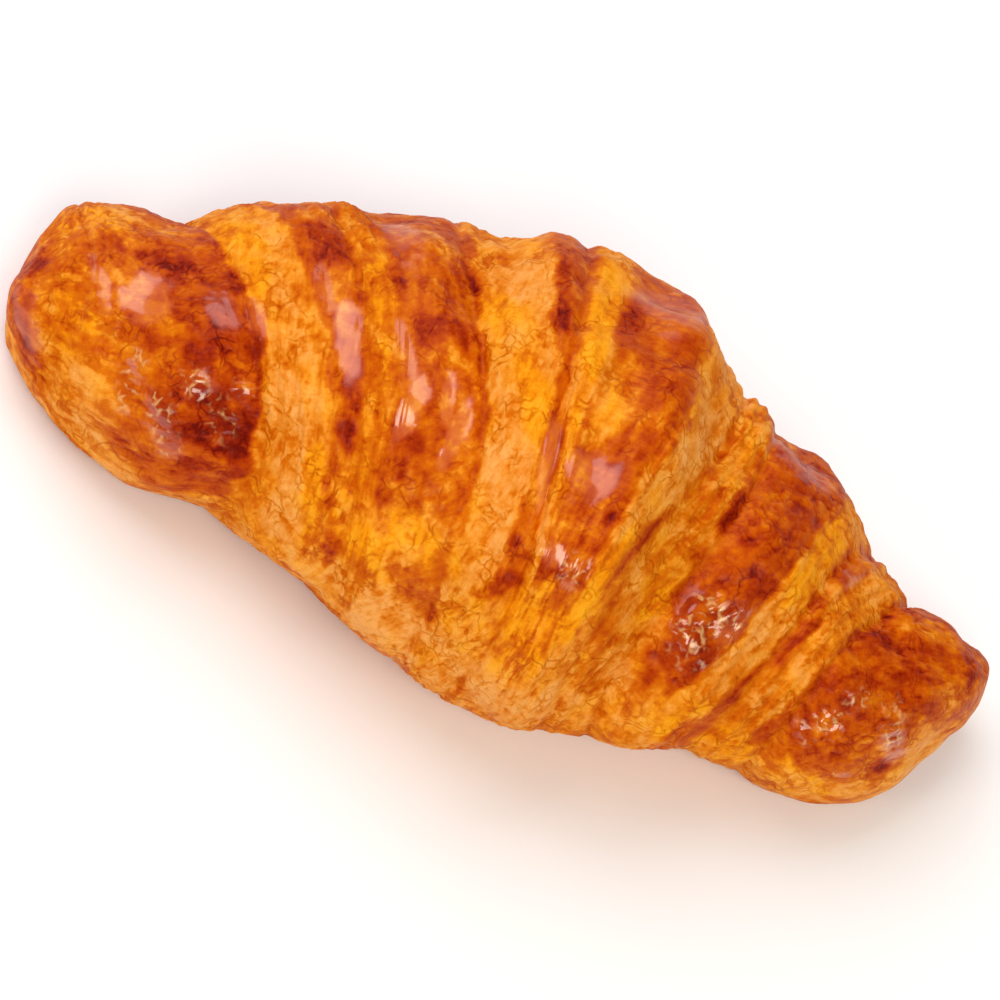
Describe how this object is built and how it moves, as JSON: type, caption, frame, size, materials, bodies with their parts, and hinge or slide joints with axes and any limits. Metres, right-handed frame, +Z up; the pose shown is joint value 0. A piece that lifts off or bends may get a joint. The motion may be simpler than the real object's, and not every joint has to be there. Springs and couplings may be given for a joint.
{
  "type": "mini croissant",
  "caption": "Small baked croissant: a nearly straight, tapering roll of layered dough with stepped, overlapping turns, blunt ends and a flat base.",
  "frame": {"origin": "under the middle of the croissant's box, on the plane it rests on", "axes": "+X along the roll to the end that is on the right in the picture, -Y to the front of the picture, +Z up"},
  "size_m": [0.097, 0.0452, 0.0327],
  "materials": {
    "baked_crust": "egg-washed baked crust: golden brown, glossy on the browned tops of the turns and matte and paler on the cut edges"
  },
  "bodies": {
    "root": {"croissant": "baked_crust"}
  },
  "joints": []
}
